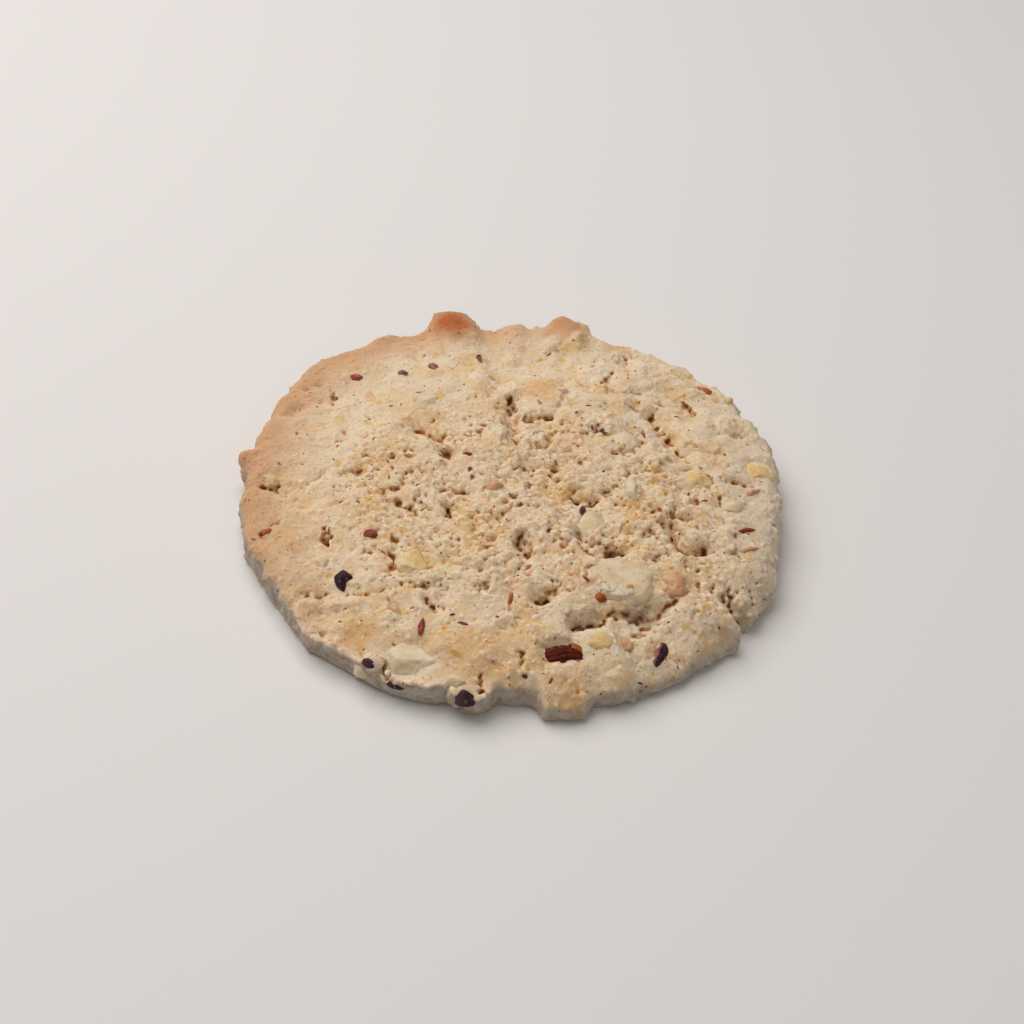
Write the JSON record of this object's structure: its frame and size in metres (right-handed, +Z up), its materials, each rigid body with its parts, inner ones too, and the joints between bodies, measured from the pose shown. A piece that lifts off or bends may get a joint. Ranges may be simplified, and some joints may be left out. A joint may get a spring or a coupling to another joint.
{
  "type": "peanut cookie",
  "caption": "Round home-baked nut cookie: a low domed disc of pale crumbly dough with a cracked top, ragged browned rim and chopped nuts.",
  "frame": {"origin": "centre of the round flat base, on the surface the cookie lies on", "axes": "+Z up through the thickness, -Y towards the viewer of the reference picture, +X to its right"},
  "size_m": [0.0706, 0.0742, 0.0092],
  "materials": {
    "baked_dough": "matte baked crumb"
  },
  "bodies": {
    "root": {"cookie": "baked_dough"}
  },
  "joints": []
}
